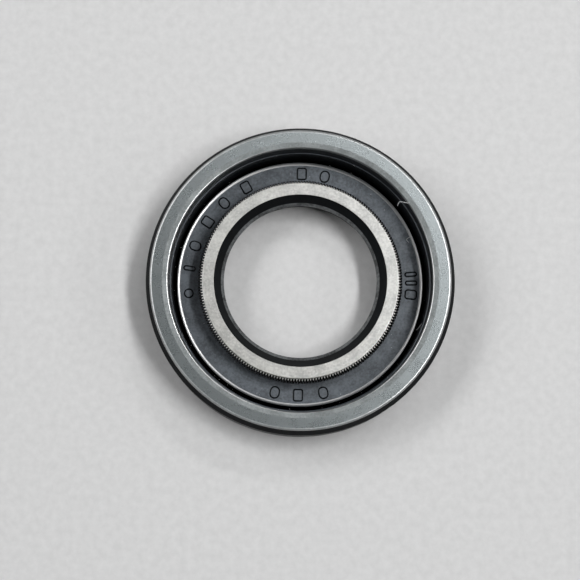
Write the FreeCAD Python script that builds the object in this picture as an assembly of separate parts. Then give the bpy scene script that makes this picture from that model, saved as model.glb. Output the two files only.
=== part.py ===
"""Radial shaft seal for a 16 mm shaft in a 30 mm housing bore, 6 mm wide.

The seal lies on its air side, z = 0, with the spring side (oil side) up and its axis on +Z.
Three pieces: a moulded rubber body, the stamped steel case inside it, and the garter spring
in the groove behind the sealing lip. All sizes are in millimetres.
"""
import FreeCAD
import Part
import os
from math import cos, pi, radians, sin, tan

# What the seal fits: the shaft it runs on, the bore it is pressed into, and its width
shaft_d = 16.0
housing_d = 30.0
width = 6.0
outside_oversize = 0.2      # rubber outside over the housing bore, on diameter
lip_undersize = 1.0         # sealing lip under the shaft, on diameter
dust_undersize = 0.2        # dust lip under the shaft, on diameter

# Stamped steel case
case_t = 0.85               # sheet thickness
case_bend_r = 0.5           # inside radius of the bend
case_edge_w = 0.15          # bevel on the outside of its top edge
flange_clearance = 2.0      # hole in the flange round the shaft, on radius

# Rubber moulded round the case
cover_t = 0.75              # outside the case
cap_t = 0.75                # over the top edge of the case
foot_t = 0.5                # under the flange
floor_t = 0.5               # on top of the flange, the floor of the recess
mouth_lining_t = 0.66       # inside the case at the mouth of the recess
foot_lining_t = 0.95        # inside the case at the foot of the wall
lead_chamfer_w = 0.48       # lead-in chamfer round the top of the outside
lead_chamfer_h = 1.3
heel_chamfer_w = 0.4        # chamfer round the bottom of the outside
heel_chamfer_h = 0.6
mouth_bevel_w = 0.58        # shallow bevel from the rim into the recess
mouth_bevel_h = 0.1
step_depth = 2.0            # parting step in the inner wall, below the rim
step_w = 0.12
step_h = 0.06
wall_draft_w = 0.06         # taper of the wall above that step
trench_w = 0.36             # bare ring of case between wall and floor
rim_round = 0.25            # outer edge of the rim
mouth_round = 0.22          # edge of the mouth of the recess
edge_round = 0.17           # other moulded edges
curl_w = 0.16               # floor curled up along that trench
curl_h = 0.09
curl_round = 0.5            # hollow side of the curl
crest_round = 0.03          # top of the curl

# Sealing lip
trim_drop = 1.0             # trimmed face below the rim
trim_w = 1.16               # width of the trimmed face
lead_cone_w = 0.68          # steep cone below the trimmed face
lead_cone_h = 1.0
band_w = 0.29               # shallower band below that cone, down to the sealing edge
band_h = 0.2
edge_land_h = 0.16          # narrow land that touches the shaft
air_cone_deg = 24.0         # back of the lip, from the axis
lip_back_t = 1.34           # rubber between the sealing edge and the spring's seat
shoulder_w = 0.42           # shoulder under the spring, out from the seat
shoulder_drop = 0.58        # shoulder below the middle of the spring
waist_drop = 0.62           # waist of the flexing skirt below the shoulder
skirt_t = 0.74              # rubber of the skirt at its waist
skirt_foot_w = 0.65         # foot of the skirt, in from the hole in the flange
skirt_round = 0.3

# Dust lip and the notch behind it
dust_root_z = 1.45          # where it leaves the back of the sealing lip
dust_tip_z = 0.36           # lowest point of its tip
dust_t = 0.42
dust_land_h = 0.14
dust_tip_round = 0.08
notch_z = 1.1
notch_flat_w = 0.3
notch_round = 0.15
notch_edge_w = 0.6          # outer side of the notch, in from the hole in the flange
foot_edge_w = 0.2           # inner edge of the contact face, in from that hole

# Garter spring: close-wound wire, its ends hooked into one ring
wire_d = 0.25
coil_d = 1.22
turn_gap = 0.004            # between turns on the inside of the ring
spring_drop = 0.05          # middle of the spring below the sealing edge
seat_clearance = 0.01       # coil to groove
turn_sides = 10             # flats round each turn

round_limit = 0.48          # most of a side that the round at one of its ends may take

# Radii and heights that follow
outside_r = (housing_d + outside_oversize) / 2
edge_r = (shaft_d - lip_undersize) / 2
dust_r = (shaft_d - dust_undersize) / 2
flange_r = shaft_d / 2 + flange_clearance
flange_top_z = foot_t + case_t
floor_z = flange_top_z + floor_t
case_r = outside_r - cover_t
case_inner_r = case_r - case_t
case_top_z = width - cap_t
mouth_r = case_inner_r - mouth_lining_t
wall_foot_r = case_inner_r - foot_lining_t
floor_r = wall_foot_r - trench_w
trim_z = width - trim_drop
edge_z = trim_z - lead_cone_h - band_h
land_z = edge_z - edge_land_h
band_r = edge_r + band_w
trim_inner_r = band_r + lead_cone_w
trim_outer_r = trim_inner_r + trim_w
air_slope = tan(radians(air_cone_deg))
dust_root_r = edge_r + (land_z - dust_root_z) * air_slope
coil_r = coil_d / 2
groove_r = coil_r + seat_clearance
seat_r = edge_r + lip_back_t
ring_r = seat_r + groove_r
spring_z = edge_z - spring_drop


def rounded_face(corners):
    """A flat face in the XZ plane from (radius, height, corner round) points, in order."""
    points = [FreeCAD.Vector(r, 0, z) for r, z, rounding in corners]
    bends = []
    for i, here in enumerate(points):
        rounding = corners[i][2]
        back = points[i - 1] - here
        on = points[(i + 1) % len(points)] - here
        half = back.getAngle(on) / 2
        reach = min(rounding / tan(half), round_limit * back.Length, round_limit * on.Length)
        start = here + back.normalize() * reach
        end = here + on.normalize() * reach
        middle = (back + on).normalize()
        crown = here + middle * (reach / cos(half) - reach * tan(half))
        bends.append((start, crown, end))
    edges = []
    for i, (start, crown, end) in enumerate(bends):
        if corners[i][2]:
            edges.append(Part.Arc(start, crown, end).toShape())
        edges.append(Part.LineSegment(end, bends[(i + 1) % len(bends)][0]).toShape())
    return Part.Face(Part.Wire(edges))


def turned(face):
    """A ring turned from a face about the seal's axis."""
    return face.revolve(FreeCAD.Vector(0, 0, 0), FreeCAD.Vector(0, 0, 1), 360)


def case_face():
    """Section of the steel case: an upright wall and a flange, bent from one sheet."""
    return rounded_face([
        (flange_r, foot_t, 0),
        (case_r, foot_t, case_bend_r + case_t),
        (case_r, case_top_z - case_edge_w, 0),
        (case_r - case_edge_w, case_top_z, 0),
        (case_inner_r, case_top_z, 0),
        (case_inner_r, flange_top_z, case_bend_r),
        (flange_r, flange_top_z, 0),
    ])


def cover_corners():
    """Outside, rim, inner wall and floor of the moulding, from the heel to the skirt."""
    step_z = width - step_depth
    step_r = mouth_r - wall_draft_w
    return [
        (outside_r - heel_chamfer_w, 0, edge_round),
        (outside_r, heel_chamfer_h, edge_round),
        (outside_r, width - lead_chamfer_h, edge_round),
        (outside_r - lead_chamfer_w, width, rim_round),
        (mouth_r + mouth_bevel_w, width, edge_round),
        (mouth_r, width - mouth_bevel_h, mouth_round),
        (step_r, step_z, 0),
        (step_r - step_w, step_z - step_h, step_h),
        (wall_foot_r, flange_top_z, 0),
        (floor_r, flange_top_z, 0),
        (floor_r, floor_z + curl_h, crest_round),
        (floor_r - curl_w, floor_z, curl_round),
        (flange_r - skirt_foot_w, floor_z, skirt_round),
    ]


def lip_corners():
    """Skirt, shoulder, spring side and sealing side of the lip, down to the dust lip."""
    shoulder_z = spring_z - shoulder_drop
    waist_z = shoulder_z - waist_drop
    waist_r = edge_r + (land_z - waist_z) * air_slope + skirt_t
    return [
        (waist_r, waist_z, skirt_round),
        (seat_r + shoulder_w, shoulder_z, 0),
        (ring_r, spring_z, 0),
        (trim_outer_r, spring_z, 0),
        (trim_outer_r, trim_z, edge_round),
        (trim_inner_r, trim_z, 0),
        (band_r, edge_z + band_h, 0),
        (edge_r, edge_z, 0),
        (edge_r, land_z, 0),
        (dust_root_r, dust_root_z, skirt_round),
    ]


def dust_corners():
    """Dust lip, the notch behind it and the inner edge of the contact face."""
    land_top_z = dust_tip_z + dust_land_h + dust_t / 2
    upper_side = FreeCAD.Vector(dust_root_r - dust_r, 0, dust_root_z - land_top_z).normalize()
    tip_r = dust_r + dust_t * upper_side.z
    notch_r = flange_r - notch_edge_w
    return [
        (dust_r, land_top_z, 0),
        (dust_r, land_top_z - dust_land_h, 0),
        (tip_r, dust_tip_z, dust_tip_round),
        (notch_r - notch_flat_w, notch_z, notch_round),
        (notch_r, notch_z, notch_round),
        (flange_r - foot_edge_w, 0, edge_round),
    ]


def rubber_body():
    """The whole moulding, with the case's place and the spring's groove taken out of it."""
    section = rounded_face(cover_corners() + lip_corners() + dust_corners())
    groove = Part.makeCircle(groove_r, FreeCAD.Vector(ring_r, 0, spring_z), FreeCAD.Vector(0, 1, 0))
    section = section.cut(Part.Face(Part.Wire(groove)))
    section = section.cut(case_face())
    return turned(section.Faces[0])


def garter_spring():
    """The coil closed into a ring: a helical ridge for the wire, a helical valley between turns."""
    helix_r = coil_r - wire_d / 2
    turns = round(2 * pi * (ring_r - helix_r) / (wire_d + turn_gap))
    steps = turns * turn_sides

    def on_coil(step, radius, lead):
        around = 2 * pi * step / turn_sides
        along = 2 * pi * (step / turn_sides + lead) / turns
        out = ring_r + radius * cos(around)
        return FreeCAD.Vector(out * cos(along), out * sin(along), spring_z + radius * sin(around))

    ridge = [on_coil(step, coil_r, 0) for step in range(steps)]
    valley = [on_coil(step, helix_r, 0.5) for step in range(steps)]
    faces = []

    def add_flat(a, b, c, d):
        faces.append(Part.Face(Part.makePolygon([a, b, c, a])))
        faces.append(Part.Face(Part.makePolygon([a, c, d, a])))

    for step in range(steps):
        on = (step + 1) % steps
        next_turn = (step + turn_sides) % steps
        next_turn_on = (next_turn + 1) % steps
        add_flat(ridge[step], ridge[on], valley[on], valley[step])
        add_flat(valley[step], valley[on], ridge[next_turn_on], ridge[next_turn])
    shell = Part.makeShell(faces)
    shell.sewShape()
    return Part.Solid(shell)


def main():
    """Write one STEP file for each piece."""
    os.makedirs("parts", exist_ok=True)
    pieces = {
        "rubber_body": rubber_body(),
        "steel_case": turned(case_face()),
        "garter_spring": garter_spring(),
    }
    for name, shape in pieces.items():
        shape.exportStep("parts/" + name + ".step")
        print(name, shape.ShapeType, shape.isValid(), round(shape.Volume, 3), "mm3")


main()
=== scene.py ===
import math
import random
import bpy
from mathutils import Matrix, Vector


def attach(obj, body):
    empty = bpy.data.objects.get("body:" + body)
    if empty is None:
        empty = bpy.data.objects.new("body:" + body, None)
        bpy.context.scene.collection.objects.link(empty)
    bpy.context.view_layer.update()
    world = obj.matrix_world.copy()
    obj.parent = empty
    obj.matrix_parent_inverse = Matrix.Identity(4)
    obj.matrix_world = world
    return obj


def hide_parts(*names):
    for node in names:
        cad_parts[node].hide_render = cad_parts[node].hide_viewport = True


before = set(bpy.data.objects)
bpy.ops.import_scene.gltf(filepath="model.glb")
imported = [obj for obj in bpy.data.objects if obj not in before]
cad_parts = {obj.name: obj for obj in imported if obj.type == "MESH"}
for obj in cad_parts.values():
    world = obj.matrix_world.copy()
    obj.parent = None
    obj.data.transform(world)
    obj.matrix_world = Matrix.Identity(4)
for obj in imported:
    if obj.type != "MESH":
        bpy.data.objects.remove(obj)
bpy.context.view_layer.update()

# Steel case: an L-section ring stamped from 0.85 mm sheet, phosphated dark grey so that the
# rubber bonds to it. The moulding hides it, except in the narrow trench at the foot of the wall.

crystal_mm = 0.12
crystal_depth_mm = 0.01
stain_mm = 1.6
dark_phosphate = (0.012, 0.012, 0.013)
pale_phosphate = (0.03, 0.03, 0.032)


def finish_nodes(name):
    """A new material with its shader and its place on the object in millimetres."""
    material = bpy.data.materials.new(name)
    material.use_nodes = True
    shader = material.node_tree.nodes["Principled BSDF"]
    place = material.node_tree.nodes.new("ShaderNodeTexCoord")
    in_mm = material.node_tree.nodes.new("ShaderNodeVectorMath")
    in_mm.operation = "SCALE"
    in_mm.inputs["Scale"].default_value = 1000
    material.node_tree.links.new(place.outputs["Object"], in_mm.inputs[0])
    return material, shader, in_mm.outputs["Vector"]


def grain(material, where, size_mm, detail=3.0, roughness=0.55):
    """Noise with features of that size, from 0 to 1."""
    noise = material.node_tree.nodes.new("ShaderNodeTexNoise")
    noise.inputs["Scale"].default_value = 1 / size_mm
    noise.inputs["Detail"].default_value = detail
    noise.inputs["Roughness"].default_value = roughness
    material.node_tree.links.new(where, noise.inputs["Vector"])
    return noise.outputs["Fac"]


def spread(material, value, stops):
    """A colour ramp over a value: stops are (position, (red, green, blue))."""
    ramp = material.node_tree.nodes.new("ShaderNodeValToRGB")
    ramp.color_ramp.elements.remove(ramp.color_ramp.elements[1])
    for i, (position, colour) in enumerate(stops):
        stop = ramp.color_ramp.elements[0] if i == 0 else ramp.color_ramp.elements.new(position)
        stop.position = position
        stop.color = (*colour, 1)
    material.node_tree.links.new(value, ramp.inputs["Fac"])
    return ramp.outputs["Color"]


def between(material, value, low, high):
    """A value from 0 to 1 spread from low to high."""
    fit = material.node_tree.nodes.new("ShaderNodeMapRange")
    fit.inputs["To Min"].default_value = low
    fit.inputs["To Max"].default_value = high
    material.node_tree.links.new(value, fit.inputs["Value"])
    return fit.outputs["Result"]


def relief(material, shader, height, depth_mm):
    """Bump of that depth on the shader's normal."""
    bump = material.node_tree.nodes.new("ShaderNodeBump")
    bump.inputs["Distance"].default_value = depth_mm / 1000
    material.node_tree.links.new(height, bump.inputs["Height"])
    material.node_tree.links.new(bump.outputs["Normal"], shader.inputs["Normal"])


def phosphated_steel():
    """Dull dark steel, stained unevenly under its fine crystals."""
    steel, shader, place = finish_nodes("phosphated_steel")
    crystals = grain(steel, place, crystal_mm)
    stain = grain(steel, place, stain_mm)
    colour = spread(steel, stain, [(0.35, dark_phosphate), (0.65, pale_phosphate)])
    steel.node_tree.links.new(colour, shader.inputs["Base Color"])
    shader.inputs["Metallic"].default_value = 0.6
    steel.node_tree.links.new(between(steel, crystals, 0.45, 0.7), shader.inputs["Roughness"])
    relief(steel, shader, crystals, crystal_depth_mm)
    return steel


case_finish = phosphated_steel()
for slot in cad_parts["steel_case"].material_slots:
    slot.material = case_finish

# Rubber body: one moulding of black nitrile rubber, cured onto the case. The mould's turned steel
# leaves fine rings on the matt rim and floor, and its polished corners leave the edges glossy.
# A knife trims the top of the sealing lip to a pale flat face.

width = 6.0
outside_r = 15.1
heel_w = 0.4                # chamfer round the bottom of the outside
heel_h = 0.6
chamfer_w = 0.48            # lead-in chamfer round the top of the outside
chamfer_h = 1.3
mouth_r = 12.84             # wall of the recess, at its mouth
bevel_w = 0.58              # shallow bevel from the rim into the mouth
bevel_h = 0.10
draft_w = 0.06              # taper of the wall down to its parting step
step_z = 4.0
step_w = 0.12
step_h = 0.06
wall_foot_r = 12.55
bare_steel_z = 1.35         # bottom of the trench between wall and floor
floor_r = 12.19
floor_z = 1.85
curl_w = 0.16               # floor curled up along the trench
curl_h = 0.10
skirt_foot_r = 9.35         # flexing skirt, from the floor up to its waist
waist_r = 8.725
waist_z = 2.55
ring_r = 9.46               # middle of the spring
spring_z = 3.75
groove_r = 0.62
trim_outer_r = 9.63         # trimmed face of the sealing lip
trim_inner_r = 8.47
trim_z = 5.0
band_r = 7.79               # steep cone down to here, then a shallower band
band_h = 0.2
edge_r = 7.5                # sealing edge and the narrow land below it
edge_z = 3.8
land_h = 0.16
dust_root_r = 8.475         # dust lip, where it leaves the back of the sealing lip
dust_root_z = 1.45
dust_r = 7.9                # land of the dust lip
dust_land_top_z = 0.71
dust_land_foot_z = 0.57
dust_tip_r = 8.232
dust_tip_z = 0.36
notch_inner_r = 9.1         # notch behind the dust lip
notch_outer_r = 9.4
notch_z = 1.1
foot_inner_r = 9.8          # inner edge of the face that the seal lies on

edge_round = 0.17           # moulded edges
rim_round = 0.25            # outer edge of the rim
bevel_round = 0.6
mouth_round = 0.20
crest_round = 0.045         # top of the curl
curl_round = 0.5            # hollow side of the curl
skirt_round = 0.3
trim_round = 0.1
lip_round = 0.03
sealing_round = 0.02
tip_round = 0.08
notch_round = 0.15

arc_steps = 8               # sides round each corner
groove_steps = 24
body_steps = 288            # sides round the axis
hold_w = 0.03               # extra point so near to a corner keeps a long side's shading flat
middle_shares = (0.35, 0.65)    # and two more along such a side
sharp_deg = 35

bloom_mm = 1.5              # clouds of pale bloom
bloom_share = 0.5           # bloom and mould grain in equal parts
tool_mark_mm = 0.16         # pitch of the rings from the turned mould
tool_mark_share = 0.12
tool_mark_reach = 3         # how often such a ring changes on its way round
gloss_spread = 0.75         # share of the mottling's contrast that shows in the gloss

# name: colour, contrast of its mottling, roughness, IOR, specular level, grain size and depth in mm
rubber_finishes = {
    "rim": ((0.032, 0.037, 0.038), 0.8, 0.29, 2.1, 1.0, 0.15, 0.0045),
    # Painted sheen: the bevel is painted paler than the rim's rubber, standing in for the light
    # that its inward slope catches.
    "bevel": ((0.155, 0.165, 0.165), 0.4, 0.6, 1.65, 0.8, 0.18, 0.008),
    # Painted highlight: the pale colour on the half of the rim's outer round next to its flat top
    # stands in for the bright line that light draws along that edge.
    "painted highlight edge": ((0.28, 0.30, 0.305), 0.4, 0.34, 2.3, 1.0, 0.3, 0.004),
    "edge": ((0.075, 0.085, 0.087), 0.3, 0.30, 2.6, 1.0, 0.3, 0.0003),
    "chamfer": ((0.005, 0.006, 0.007), 0.3, 0.5, 1.2, 0.1, 0.25, 0.012),
    "wall": ((0.005, 0.006, 0.008), 0.3, 0.38, 1.5, 0.2, 0.2, 0.005),
    "outside": ((0.006, 0.007, 0.008), 0.3, 0.5, 1.4, 0.3, 0.25, 0.012),
    "floor": ((0.080, 0.091, 0.104), 0.4, 0.46, 1.5, 0.5, 0.24, 0.008),
    "trim": ((0.345, 0.345, 0.32), 0.4, 0.32, 2.0, 1.0, 0.22, 0.018),
    "curl": ((0.05, 0.058, 0.062), 0.2, 0.33, 2.4, 1.0, 0.3, 0.0004),
    "cone": ((0.003, 0.004, 0.005), 0.3, 0.4, 1.5, 0.1, 0.2, 0.004),
    "band": ((0.08, 0.085, 0.087), 0.7, 0.45, 1.5, 0.6, 0.26, 0.016),
}
gloss_tints = {"rim": (0.9, 0.98, 1.0), "bevel": (0.9, 0.98, 1.0), "floor": (0.9, 0.95, 1.0)}
white = (1, 1, 1)


def vector_step(material, operation, value, by=None):
    """A node that works one vector operation on a value, by a fixed vector where it takes one."""
    step = material.node_tree.nodes.new("ShaderNodeVectorMath")
    step.operation = operation
    if by:
        step.inputs[1].default_value = by
    material.node_tree.links.new(value, step.inputs[0])
    return step


def from_axis(material, where):
    """A place brought down to height 0, and its distance from the seal's axis."""
    flat = vector_step(material, "MULTIPLY", where, (1, 1, 0)).outputs["Vector"]
    return flat, vector_step(material, "LENGTH", flat).outputs["Value"]


def tool_marks(material, where):
    """Noise drawn out round the axis, like the marks of a lathe tool."""
    flat, radius = from_axis(material, where)
    heading = vector_step(material, "NORMALIZE", flat).outputs["Vector"]
    across = material.node_tree.nodes.new("ShaderNodeMath")
    across.operation = "DIVIDE"
    across.inputs[1].default_value = tool_mark_mm
    material.node_tree.links.new(radius, across.inputs[0])
    up = material.node_tree.nodes.new("ShaderNodeCombineXYZ")
    material.node_tree.links.new(across.outputs["Value"], up.inputs["Z"])
    along = vector_step(material, "MULTIPLY_ADD", heading, (tool_mark_reach,) * 3)
    material.node_tree.links.new(up.outputs["Vector"], along.inputs[2])
    return grain(material, along.outputs["Vector"], 1.0, 2.0)


def blend(material, one, other, share):
    """One value with that share of another mixed in."""
    mix = material.node_tree.nodes.new("ShaderNodeMix")
    mix.inputs["Factor"].default_value = share
    material.node_tree.links.new(one, mix.inputs["A"])
    material.node_tree.links.new(other, mix.inputs["B"])
    return mix.outputs["Result"]


def moulded_rubber(name, colour, contrast, roughness, ior, specular, grain_mm, grain_depth_mm):
    """Rubber with clouds of bloom, turned rings and a fine mould grain."""
    rubber, shader, place = finish_nodes(name.replace(" ", "_") + "_rubber")
    clouds = grain(rubber, place, bloom_mm, 4.0)
    fine = grain(rubber, place, grain_mm, 3.0, 0.65)
    rings = tool_marks(rubber, place)
    tone = blend(rubber, blend(rubber, clouds, fine, bloom_share), rings, tool_mark_share)
    dark = tuple(c * (1 - contrast) for c in colour)
    light = tuple(c * (1 + contrast) for c in colour)
    shade = spread(rubber, tone, [(0.4, dark), (0.5, colour), (0.6, light)])
    rubber.node_tree.links.new(shade, shader.inputs["Base Color"])
    dullest = (1 + gloss_spread * contrast) * roughness
    glossiest = (1 - gloss_spread * contrast) * roughness
    sheen = between(rubber, tone, dullest, glossiest)
    rubber.node_tree.links.new(sheen, shader.inputs["Roughness"])
    shader.inputs["IOR"].default_value = ior
    shader.inputs["Specular IOR Level"].default_value = specular
    shader.inputs["Specular Tint"].default_value = (*gloss_tints.get(name, white), 1)
    relief(rubber, shader, blend(rubber, fine, rings, tool_mark_share), grain_depth_mm)
    return rubber


body_finishes = {kind: moulded_rubber(kind, *values) for kind, values in rubber_finishes.items()}

# The groove round the spring, from the shoulder under it to the trimmed face's outer side
groove_from = math.radians(250.6)
groove_to = math.acos((trim_outer_r - ring_r) / groove_r)


def on_groove(angle):
    """Radius and height of the groove's surface at that angle round the spring."""
    return ring_r + groove_r * math.cos(angle), spring_z + groove_r * math.sin(angle)


# (radius, height, corner round, finish of that round, finish of the side that follows)
body_section = [
    (outside_r - heel_w, 0, edge_round, "outside", "outside"),
    (outside_r, heel_h, edge_round, "outside", "outside"),
    (outside_r, width - chamfer_h, edge_round, "outside", "chamfer"),
    # The half of this round next to the rim's flat top takes the painted highlight colour.
    (outside_r - chamfer_w, width, rim_round, ("edge", "painted highlight edge"), "rim"),
    (mouth_r + bevel_w, width, bevel_round, "bevel", "bevel"),
    (mouth_r, width - bevel_h, mouth_round, "edge", "wall"),
    (mouth_r - draft_w, step_z, 0, "wall", "floor"),
    (mouth_r - draft_w - step_w, step_z - step_h, step_h, "wall", "wall"),
    (wall_foot_r, bare_steel_z, 0, "wall", "wall"),
    (floor_r, bare_steel_z, 0, "wall", "wall"),
    (floor_r, floor_z + curl_h, crest_round, "curl", "curl"),
    (floor_r - curl_w, floor_z, curl_round, "curl", "floor"),
    (skirt_foot_r, floor_z, skirt_round, "wall", "wall"),
    (waist_r, waist_z, skirt_round, "wall", "wall"),
    (*on_groove(groove_from), 0, "wall", "groove"),
    (*on_groove(groove_to), 0, "wall", "wall"),
    (trim_outer_r, trim_z, trim_round, "trim", "trim"),
    (trim_inner_r, trim_z, lip_round, "trim", "cone"),
    (band_r, edge_z + band_h, lip_round, "cone", "band"),
    (edge_r, edge_z, sealing_round, "band", "band"),
    (edge_r, edge_z - land_h, sealing_round, "band", "cone"),
    (dust_root_r, dust_root_z, skirt_round, "cone", "cone"),
    (dust_r, dust_land_top_z, sealing_round, "cone", "cone"),
    (dust_r, dust_land_foot_z, sealing_round, "cone", "cone"),
    (dust_tip_r, dust_tip_z, tip_round, "cone", "outside"),
    (notch_inner_r, notch_z, notch_round, "outside", "outside"),
    (notch_outer_r, notch_z, notch_round, "outside", "outside"),
    (foot_inner_r, 0, edge_round, "outside", "outside"),
]


def rounded_corner(before, here, after, rounding):
    """Points round one corner of the section, or the corner alone where it has no round."""
    if not rounding:
        return [here]
    back = (before - here).normalized()
    on = (after - here).normalized()
    half = back.angle(on) / 2
    centre = here + (back + on).normalized() * (rounding / math.sin(half))
    start = here + back * (rounding / math.tan(half)) - centre
    end = here + on * (rounding / math.tan(half)) - centre
    first = math.atan2(start.y, start.x)
    sweep = -start.angle_signed(end)
    angles = [first + sweep * k / arc_steps for k in range(arc_steps + 1)]
    return [centre + rounding * Vector((math.cos(a), math.sin(a))) for a in angles]


def section_points(corners):
    """The section as points, rounds included, each with the finish of the stretch after it."""
    spots = [Vector(corner[:2]) for corner in corners]
    bends = []
    for i, corner in enumerate(corners):
        after = spots[(i + 1) % len(spots)]
        bends.append(rounded_corner(spots[i - 1], spots[i], after, corner[2]))
    points = []
    for i, bend in enumerate(bends):
        round_finish, side_finish = corners[i][3:]
        if isinstance(round_finish, str):
            round_finish = (round_finish, round_finish)
        points += [(p, round_finish[2 * k // arc_steps]) for k, p in enumerate(bend[:-1])]
        if side_finish == "groove":
            for k in range(groove_steps):
                angle = groove_from + (groove_to - groove_from) * k / groove_steps
                points.append((Vector(on_groove(angle)), "wall"))
            continue
        start, end = bend[-1], bends[(i + 1) % len(bends)][0]
        length = (end - start).length
        points.append((start, side_finish))
        if length > 4 * hold_w:
            near = hold_w / length
            for share in (near, *middle_shares, 1 - near):
                points.append((start.lerp(end, share), side_finish))
    return points


def mesh_piece(name, verts, faces, finishes, face_finishes=None, smooth=False):
    """A piece made from points in metres and faces; face_finishes picks each face's finish."""
    mesh = bpy.data.meshes.new(name)
    mesh.from_pydata(verts, [], faces)
    for finish in finishes:
        mesh.materials.append(finish)
    if face_finishes:
        mesh.polygons.foreach_set("material_index", face_finishes)
    mesh.polygons.foreach_set("use_smooth", [smooth] * len(faces))
    piece = bpy.data.objects.new(name, mesh)
    bpy.context.scene.collection.objects.link(piece)
    return piece


def turned_body(points):
    """The moulding, turned from its section's points about the seal's axis."""
    verts = []
    for i in range(body_steps):
        a = 2 * math.pi * i / body_steps
        for p, finish in points:
            verts.append((p.x * math.cos(a) / 1000, p.x * math.sin(a) / 1000, p.y / 1000))
    kinds = list(body_finishes)
    n = len(points)
    faces = []
    face_finishes = []
    for i in range(body_steps):
        i2 = (i + 1) % body_steps
        for j, (p, finish) in enumerate(points):
            j2 = (j + 1) % n
            faces.append((i * n + j, i2 * n + j, i2 * n + j2, i * n + j2))
            face_finishes.append(kinds.index(finish))
    finishes = body_finishes.values()
    turned = mesh_piece("seal_body", verts, faces, finishes, face_finishes, smooth=True)
    turned.data.set_sharp_from_angle(angle=math.radians(sharp_deg))
    return turned


body = turned_body(section_points(body_section))
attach(body, "root")
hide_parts("rubber_body")

# Garter spring: thin bright steel wire wound into a coil, its ends hooked into one ring. It lies
# in the groove behind the sealing lip and draws the lip onto the shaft.

wire_d = 0.19
coil_d = 1.22
turns = 222
turn_steps = 24             # points along each turn
wire_sides = 8
bunching = 0.0012           # how far turns drift together and apart, in radians round the ring
bunching_waves = (7, 14, 21)
direction_step = 0.01       # part of a turn over which the wire's direction is taken

# Painted shade: the wire is painted near black everywhere but on the top of the coil, so that the
# turns' lower sides and the gaps where they meet look shaded.
painted_gap_shade = (0.006, 0.006, 0.006)
bright_steel = (0.96, 0.95, 0.92)
draw_line_mm = 0.05
shade_circle_drop = 0.2             # the painted shade's distances are taken from this far below the coil's middle
painted_shade_to = 0.765             # painted shade up to this distance
lit_steel_from = 0.775          # lit bright steel from this one


def height_on_coil(material, where):
    """Distance in millimetres from a circle under the coil's middle: most on the top of a turn."""
    height = material.node_tree.nodes.new("ShaderNodeSeparateXYZ")
    material.node_tree.links.new(where, height.inputs["Vector"])
    flat, radius = from_axis(material, where)
    section = material.node_tree.nodes.new("ShaderNodeCombineXYZ")
    material.node_tree.links.new(radius, section.inputs["X"])
    material.node_tree.links.new(height.outputs["Z"], section.inputs["Y"])
    centre = (ring_r, spring_z - shade_circle_drop, 0)
    return vector_step(material, "DISTANCE", section.outputs["Vector"], centre).outputs["Value"]


def drawn_wire():
    """Bright steel on the top of the coil, and painted shade in near black lower down and where the
    turns meet.
    """
    wire, shader, place = finish_nodes("drawn_wire")
    lines = grain(wire, place, draw_line_mm)
    stops = [(painted_shade_to, painted_gap_shade), (lit_steel_from, bright_steel)]
    colour = spread(wire, height_on_coil(wire, place), stops)
    wire.node_tree.links.new(colour, shader.inputs["Base Color"])
    shader.inputs["Metallic"].default_value = 0.5
    wire.node_tree.links.new(between(wire, lines, 0.24, 0.42), shader.inputs["Roughness"])
    return wire


def round_axis(r, angle, z):
    """Point at that distance from the seal's axis, angle from +X and height."""
    return Vector((r * math.cos(angle), r * math.sin(angle), z))


def wound_ring():
    """The wire as one tube, wound round the ring and closed on itself."""
    helix_r = (coil_d - wire_d) / 2
    random.seed(4)
    phases = [random.uniform(0, 2 * math.pi) for wave in bunching_waves]

    def centre(t):
        """Middle of the wire after t turns."""
        along = 2 * math.pi * t / turns
        along += bunching * sum(math.sin(k * along + at) for k, at in zip(bunching_waves, phases))
        around = 2 * math.pi * t
        out = ring_r + helix_r * math.cos(around)
        return round_axis(out, along, spring_z + helix_r * math.sin(around))

    verts = []
    steps = turns * turn_steps
    for s in range(steps):
        t = s / turn_steps
        here = centre(t)
        ahead = (centre(t + direction_step) - centre(t - direction_step)).normalized()
        out = here - round_axis(ring_r, 2 * math.pi * t / turns, spring_z)
        out = (out - ahead * out.dot(ahead)).normalized()
        side = ahead.cross(out)
        for k in range(wire_sides):
            a = 2 * math.pi * k / wire_sides
            verts.append((here + (out * math.cos(a) + side * math.sin(a)) * (wire_d / 2)) / 1000)
    faces = []
    for s in range(steps):
        low = s * wire_sides
        high = (s + 1) % steps * wire_sides
        for k in range(wire_sides):
            k2 = (k + 1) % wire_sides
            faces.append((low + k, low + k2, high + k2, high + k))
    return mesh_piece("spring_coil", verts, faces, [drawn_wire()], smooth=True)


spring = wound_ring()
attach(spring, "root")
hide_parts("garter_spring")

# Mould marks: plain pads, discs and bars that stand a little above the floor of the recess, left
# by engravings in the mould. They are one with the rubber, with dark, steep, glossy sides.

mark_r = 11.05              # middle of the marks from the seal's axis
pad_long = 0.50
pad_wide = 0.38
mark_steps = 5              # sides round each corner

# (clockwise from +Y in degrees, half length along the radius, half width, corner round)
mould_marks = [
    (265, 0.36, 0.36, 0.35), (278, pad_long, 0.14, 0.13), (290, pad_long, pad_wide, 0.37),
    (304, pad_long, pad_wide, 0.12), (317, pad_long, pad_wide, 0.37),
    (331, pad_long, pad_wide, 0.12), (1, pad_long, pad_wide, 0.12),
    (13, pad_long, pad_wide, 0.37), (85, pad_long, 0.13, 0.12), (89.5, pad_long, 0.13, 0.12),
    (95.5, pad_long, pad_wide, 0.2), (168, pad_long, pad_wide, 0.37),
    (181, pad_long, pad_wide, 0.12), (193, pad_long, pad_wide, 0.37),
]

# A mark's side from its sunk foot to its top: (outside its outline, above the floor)
mark_side = [(0.155, -0.02), (0.124, 0.01), (0.01, 0.06), (-0.015, 0.07)]


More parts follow.
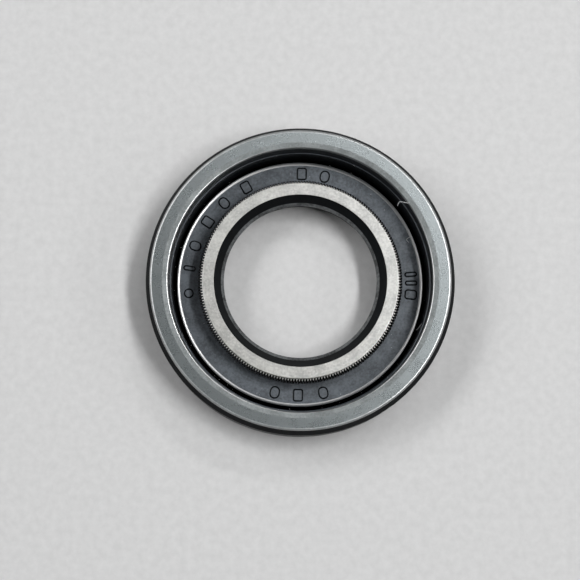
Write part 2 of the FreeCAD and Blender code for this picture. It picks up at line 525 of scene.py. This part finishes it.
def pad_outline(long, wide, rounding):
    """A rectangle with round corners, as (along the radius, across it) points."""
    outline = []
    for quarter in range(4):
        turn = math.pi / 2 * quarter
        side, other = (long, wide) if quarter % 2 == 0 else (wide, long)
        corner = Vector((side - rounding, other - rounding))
        for k in range(mark_steps + 1):
            a = math.pi / 2 * k / mark_steps
            p = corner + rounding * Vector((math.cos(a), math.sin(a)))
            outline.append((p.x * math.cos(turn) - p.y * math.sin(turn),
                            p.x * math.sin(turn) + p.y * math.cos(turn)))
    return outline


def raised_marks():
    """All the marks in one mesh: a top, steep sides and an underside sunk in the floor."""
    finishes = [body_finishes["floor"], body_finishes["cone"]]
    top, dark = 0, 1
    n = 4 * (mark_steps + 1)
    verts = []
    faces = []
    face_finishes = []
    for azimuth, long, wide, rounding in mould_marks:
        a = math.radians(azimuth)
        out = Vector((math.sin(a), math.cos(a)))
        across = Vector((math.cos(a), -math.sin(a)))
        first = len(verts)
        for grow, up in mark_side:
            for along, side in pad_outline(long + grow, wide + grow, rounding + grow):
                at = out * (mark_r + along) + across * side
                verts.append((at.x / 1000, at.y / 1000, (floor_z + up) / 1000))
        faces.append([first + k for k in range(n)])
        face_finishes.append(dark)
        for ring in range(len(mark_side) - 1):
            low = first + ring * n
            for k in range(n):
                k2 = (k + 1) % n
                faces.append((low + k2, low + k, low + n + k, low + n + k2))
                face_finishes.append(dark)
        faces.append([len(verts) - n + k for k in reversed(range(n))])
        face_finishes.append(top)
    return mesh_piece("mould_marks", verts, faces, finishes, face_finishes)


marks = raised_marks()
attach(marks, "root")

# Dust: pale grains of grit in the recess and on the lip, and a few short fibres of lint that
# have settled on the rubber, held by nothing but its oily skin.

smallest_grain = 0.018      # half size
fibre_d = 0.048
fibre_steps = 8             # points from each spot of a fibre to the next
dust_tone_mm = 0.05
grey_dust = (0.60, 0.61, 0.62)
pale_lint = (0.84, 0.85, 0.86)

# (lowest radius, highest radius, height, grains, largest half size)
grain_places = [
    (12.25, 12.5, bare_steel_z, 33, 0.06),
    (9.9, 12.0, floor_z, 31, 0.04),
    (trim_inner_r + 0.1, trim_outer_r - 0.15, trim_z, 13, 0.035),
    (mouth_r - 0.16, mouth_r - 0.08, 3.97, 11, 0.05),
]

# Each fibre as (clockwise from +Y in degrees, radius, height) along its line
lint = [
    [(54.8, 13.02, 5.93), (54.1, 12.8, 5.94), (51.8, 12.32, 5.85), (52.4, 11.95, 5.5)],
    [(66.9, 12.05, 1.95), (66.8, 11.74, 1.9), (67.4, 11.52, 1.87), (69, 11.61, 1.87)],
    [(107.6, 12.75, 4.02), (109, 12.62, 3.2), (111.5, 12.45, 2.2), (111.2, 12.4, 1.37)],
]


def pale_dust():
    """Matt grey and off-white grit and lint."""
    dust, shader, place = finish_nodes("pale_dust")
    tone = grain(dust, place, dust_tone_mm)
    colour = spread(dust, tone, [(0.35, grey_dust), (0.65, pale_lint)])
    dust.node_tree.links.new(colour, shader.inputs["Base Color"])
    shader.inputs["Roughness"].default_value = 0.7
    return dust


def add_grain(verts, faces, at, size):
    """A lump with six uneven corners."""
    first = len(verts)
    for corner in ((1, 0, 0), (0, 1, 0), (-1, 0, 0), (0, -1, 0), (0, 0, 1), (0, 0, -1)):
        verts.append((at + Vector([random.uniform(0.6, 1.1) * size * c for c in corner])) / 1000)
    for i in range(4):
        j = (i + 1) % 4
        faces.append((first + i, first + j, first + 4))
        faces.append((first + j, first + i, first + 5))


def add_fibre(verts, faces, spots):
    """A four-sided thread on a smooth line through the spots, its ends closed."""
    line = []
    for azimuth, r, z in spots:
        a = math.radians(azimuth)
        line.append(Vector((r * math.sin(a), r * math.cos(a), z)))
    line = [2 * line[0] - line[1]] + line + [2 * line[-1] - line[-2]]
    path = []
    for p0, p1, p2, p3 in zip(line, line[1:], line[2:], line[3:]):
        for k in range(fibre_steps):
            t = k / fibre_steps
            path.append((2 * p1 + (p2 - p0) * t + (2 * p0 - 5 * p1 + 4 * p2 - p3) * t ** 2
                         + (3 * p1 - p0 - 3 * p2 + p3) * t ** 3) / 2)
    path.append(line[-2])
    first = len(verts)
    for i, at in enumerate(path):
        ahead = (path[min(i + 1, len(path) - 1)] - path[max(i - 1, 0)]).normalized()
        side = ahead.cross(Vector((0.3, 0.2, 1))).normalized()
        up = side.cross(ahead)
        for out in (side, up, -side, -up):
            verts.append((at + out * (fibre_d / 2)) / 1000)
    for i in range(len(path) - 1):
        for k in range(4):
            low, low2 = first + 4 * i + k, first + 4 * i + (k + 1) % 4
            faces.append((low, low2, low2 + 4, low + 4))
    faces.append([first + k for k in (3, 2, 1, 0)])
    faces.append([len(verts) - 4 + k for k in range(4)])


def settled_dust():
    """Grains seated on the surfaces of the rubber and the bare steel, and the fibres."""
    random.seed(11)
    verts = []
    faces = []
    for low, high, height, grains, largest in grain_places:
        for k in range(grains):
            a = random.uniform(0, 2 * math.pi)
            r = random.uniform(low, high)
            size = random.uniform(smallest_grain, largest)
            add_grain(verts, faces, round_axis(r, a, height + size / 2), size)
    for spots in lint:
        add_fibre(verts, faces, spots)
    return mesh_piece("settled_dust", verts, faces, [pale_dust()])


dust = settled_dust()
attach(dust, "root")

# Floor: a plain pale sheet that the seal lies on. It is a little below the seal's underside, so
# that the two surfaces don't meet.

sheet_reach = 2.0           # metres from the middle to each side
sheet_drop = 0.00002
sheet_tooth_mm = 0.8
sheet_grey = (0.60, 0.60, 0.60)
sheet_pale = (0.66, 0.66, 0.66)


def pale_sheet():
    """Matt pale sheet with a faint tooth."""
    sheet, shader, place = finish_nodes("pale_sheet")
    tooth = grain(sheet, place, sheet_tooth_mm)
    colour = spread(sheet, tooth, [(0.3, sheet_grey), (0.7, sheet_pale)])
    sheet.node_tree.links.new(colour, shader.inputs["Base Color"])
    shader.inputs["Roughness"].default_value = 0.8
    return sheet


sheet_square = [(-1, -1, 0), (1, -1, 0), (1, 1, 0), (-1, 1, 0)]
sheet_corners = [Vector(corner) * sheet_reach for corner in sheet_square]
floor = mesh_piece("floor", sheet_corners, [(0, 1, 2, 3)], [pale_sheet()])
floor.location.z = -sheet_drop

# Light: a long soft panel on the right, a weaker one on the left, two small ones behind, a low
# strip on each side, and an even sky. Together they light a flat sheet at a plain level.

sky_level = 0.035
sky_colour = (0.95, 0.97, 1.0)
panel_distance = 0.5

world = bpy.data.worlds.new("studio")
world.use_nodes = True
world.node_tree.nodes["Background"].inputs["Color"].default_value = (*sky_colour, 1)
world.node_tree.nodes["Background"].inputs["Strength"].default_value = sky_level
bpy.context.scene.world = world


def panel(name, azimuth, elevation, wide, tall, level):
    """A soft panel, its azimuth clockwise from +Y and its sizes in metres.

    Level is the brightness that it gives to a flat white sheet.
    """
    a, e = math.radians(azimuth), math.radians(elevation)
    way = Vector((math.sin(a) * math.cos(e), math.cos(a) * math.cos(e), math.sin(e)))
    lamp = bpy.data.lights.new(name, "AREA")
    lamp.shape = "RECTANGLE"
    lamp.size = wide
    lamp.size_y = tall
    lamp.energy = level * math.pi ** 2 * panel_distance ** 2 / math.sin(e)
    item = bpy.data.objects.new(name, lamp)
    item.location = way * panel_distance
    item.rotation_mode = "QUATERNION"
    item.rotation_quaternion = (-way).to_track_quat("-Z", "Y")
    item.visible_camera = False
    bpy.context.scene.collection.objects.link(item)


panel("key", 87, 67, 0.29, 0.045, 0.54)
panel("high", 25, 74, 0.16, 0.06, 0.05)
panel("behind", 30, 50, 0.18, 0.04, 0.09)
panel("left", 297, 52, 0.36, 0.12, 0.28)
panel("low right", 90, 37, 0.50, 0.08, 0.06)
panel("low left", 275, 37, 0.40, 0.08, 0.045)

# Camera: nearly overhead, from the front and a little from the left. Its lens follows from the
# scale of the seal in the picture at that distance.

view_distance = 0.180
pixels_per_mm = 10.204
image_px = 580
sensor_mm = 36
aim = Vector((-0.00101, -0.00085, 0.004))
back = Vector((-0.0134, -0.110, 1)).normalized()
right = Vector((0, 1, 0)).cross(back).normalized()
camera_data = bpy.data.cameras.new("camera")
camera_data.sensor_width = sensor_mm
camera_data.lens = sensor_mm * view_distance / (image_px / pixels_per_mm / 1000)
camera_data.clip_start = 0.01
camera_data.clip_end = 20
camera = bpy.data.objects.new("camera", camera_data)
camera.location = aim + back * view_distance
camera.rotation_mode = "QUATERNION"
camera.rotation_quaternion = Matrix((right, back.cross(right), back)).transposed().to_quaternion()
bpy.context.scene.collection.objects.link(camera)
bpy.context.scene.camera = camera
bpy.context.scene.view_settings.view_transform = "Standard"
